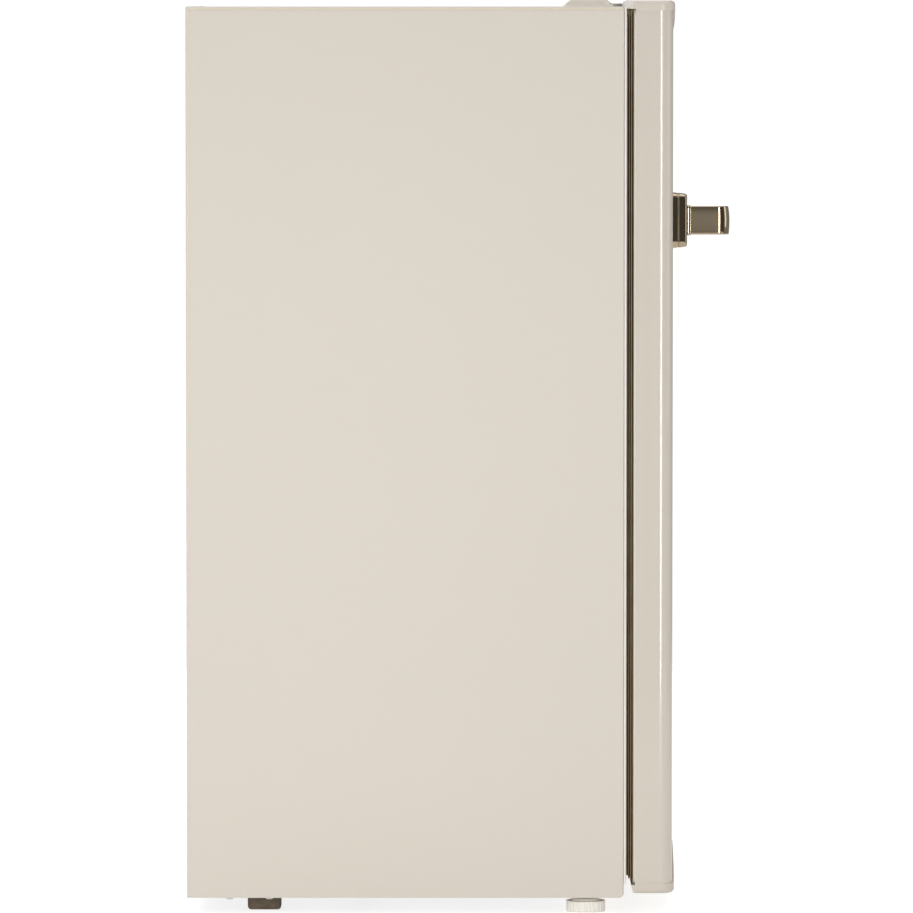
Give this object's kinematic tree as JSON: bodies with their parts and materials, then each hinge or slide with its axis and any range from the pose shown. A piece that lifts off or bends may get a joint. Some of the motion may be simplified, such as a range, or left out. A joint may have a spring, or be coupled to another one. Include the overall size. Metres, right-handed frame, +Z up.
{
  "type": "mini fridge",
  "caption": "Small retro single-door fridge with a bowed, hinged door, an L-shaped bar handle, levelling feet, a freezer box, shelf, drawer and door bins.",
  "frame": {"origin": "on the floor, under the centre of the overall box", "axes": "+Z up, -Y out of the door, +X to the hinge side"},
  "size_m": [0.4728, 0.5, 0.8415],
  "materials": {
    "cabinet_paint": "smooth satin cream enamel on steel",
    "door_paint": "smooth satin cream enamel on steel",
    "back_paint": "matt primer-coated steel",
    "zinc_steel": "bright zinc plated steel",
    "galvanised": "galvanised sheet with spangle",
    "foam": "rigid polyurethane foam, closed-cell",
    "liner_plastic": "vacuum formed polystyrene, soft gloss",
    "copper": "drawn copper tube, dulled",
    "base_screw": "painted screw head",
    "foot_rubber": "dark brown moulded rubber",
    "foot_plastic": "ivory nylon, moulded",
    "cap_plastic": "moulded cream ABS, semi-gloss",
    "bush_plastic": "natural acetal",
    "gasket_rubber": "soft grey-brown vinyl seal",
    "magnet": "flexible ferrite strip",
    "handle_chrome": "polished nickel-chrome plate",
    "clear_plastic": "clear moulded polystyrene",
    "evaporator_aluminium": "roll-bonded aluminium, satin",
    "flap_plastic": "frosted moulded polystyrene",
    "tray_plastic": "frosted clear polystyrene",
    "dial_plastic": "grey moulded ABS",
    "shelf_glass": "toughened float glass",
    "trim_plastic": "white moulded ABS",
    "black_rubber": "black moulded rubber",
    "compressor_black": "black stoved paint on drawn steel",
    "black_plastic": "black moulded polypropylene"
  },
  "bodies": {
    "cabinet": {"outer_shell": "cabinet_paint", "back_panel": "back_paint", "back_panel_screws": "zinc_steel", "base_pan": "galvanised", "front_rail": "cabinet_paint", "cabinet_foam": "foam", "inner_liner": "liner_plastic", "condenser_coil": "copper", "base_screws": "base_screw", "rear_feet": "foot_rubber", "shelf_runners": "liner_plastic", "foot_nuts": "zinc_steel", "top_hinge_plate": "zinc_steel", "top_hinge_pin": "zinc_steel", "top_hinge_screws": "zinc_steel", "top_hinge_cover": "cap_plastic", "bottom_hinge_plate": "zinc_steel", "bottom_hinge_pin": "zinc_steel", "bottom_hinge_screws": "zinc_steel", "hinge_washer": "bush_plastic", "freezer_box": "evaporator_aluminium", "freezer_frame": "liner_plastic", "freezer_hangers": "bush_plastic", "thermostat_housing": "liner_plastic", "thermostat_body": "zinc_steel", "compressor_tray": "galvanised", "cord_gland": "black_rubber", "compressor_grommets": "black_rubber", "compressor_bolts": "zinc_steel", "compressor": "compressor_black", "relay_cover": "black_plastic", "suction_tube": "copper", "discharge_tube": "copper", "filter_drier": "copper", "evaporation_pan": "black_plastic", "drain_tube": "bush_plastic"},
    "door": {"door_skin": "door_paint", "door_top_cap": "cap_plastic", "door_bottom_cap": "cap_plastic", "door_foam": "foam", "door_liner": "liner_plastic", "door_gasket": "gasket_rubber", "gasket_magnets": "magnet", "handle_base": "handle_chrome", "handle_lever": "handle_chrome", "handle_screws": "zinc_steel", "hinge_bushes": "bush_plastic"},
    "bottle_bin": {"bottle_bin": "clear_plastic"},
    "middle_bin": {"middle_bin": "clear_plastic"},
    "top_bin": {"top_bin": "clear_plastic"},
    "freezer_flap": {"freezer_flap": "flap_plastic"},
    "drip_tray": {"drip_tray": "tray_plastic"},
    "thermostat_dial": {"thermostat_dial": "dial_plastic"},
    "shelf": {"shelf_glass": "shelf_glass", "shelf_trim": "trim_plastic"},
    "crisper_cover": {"crisper_cover_glass": "shelf_glass", "crisper_cover_trim": "trim_plastic"},
    "crisper_drawer": {"crisper_drawer": "clear_plastic"},
    "leveling_foot_left": {"leveling_foot_left": "foot_plastic"},
    "leveling_foot_right": {"leveling_foot_right": "foot_plastic"}
  },
  "joints": [
    {"name": "door_hinge", "type": "hinge", "parent": "cabinet", "child": "door", "pos_m": [0.224, -0.175, 0.43], "axis": [0, 0, 1], "range_deg": [0, 110]},
    {"name": "freezer_flap_hinge", "type": "hinge", "parent": "cabinet", "child": "freezer_flap", "pos_m": [0, -0.0295, 0.752], "axis": [-1, 0, 0], "range_deg": [0, 80]},
    {"name": "drip_tray_slide", "type": "slide", "parent": "cabinet", "child": "drip_tray", "axis": [0, -1, 0], "range_m": [0, 0.085]},
    {"name": "shelf_slide", "type": "slide", "parent": "cabinet", "child": "shelf", "axis": [0, -1, 0], "range_m": [0, 0.075]},
    {"name": "crisper_cover_slide", "type": "slide", "parent": "cabinet", "child": "crisper_cover", "axis": [0, -1, 0], "range_m": [0, 0.075]},
    {"name": "crisper_drawer_slide", "type": "slide", "parent": "cabinet", "child": "crisper_drawer", "axis": [0, -1, 0], "range_m": [0, 0.075]},
    {"name": "thermostat_dial_turn", "type": "hinge", "parent": "cabinet", "child": "thermostat_dial", "pos_m": [0.165, 0, 0.561], "axis": [-1, 0, 0], "range_deg": [0, 300]},
    {"name": "bottle_bin_lift", "type": "slide", "parent": "door", "child": "bottle_bin", "axis": [0, 0, 1], "range_m": [0, 0.02]},
    {"name": "middle_bin_lift", "type": "slide", "parent": "door", "child": "middle_bin", "axis": [0, 0, 1], "range_m": [0, 0.02]},
    {"name": "top_bin_lift", "type": "slide", "parent": "door", "child": "top_bin", "axis": [0, 0, 1], "range_m": [0, 0.02]},
    {"name": "leveling_foot_left_screw", "type": "slide", "parent": "cabinet", "child": "leveling_foot_left", "axis": [0, 0, -1], "range_m": [0, 0.01]},
    {"name": "leveling_foot_right_screw", "type": "slide", "parent": "cabinet", "child": "leveling_foot_right", "axis": [0, 0, -1], "range_m": [0, 0.01]}
  ]
}
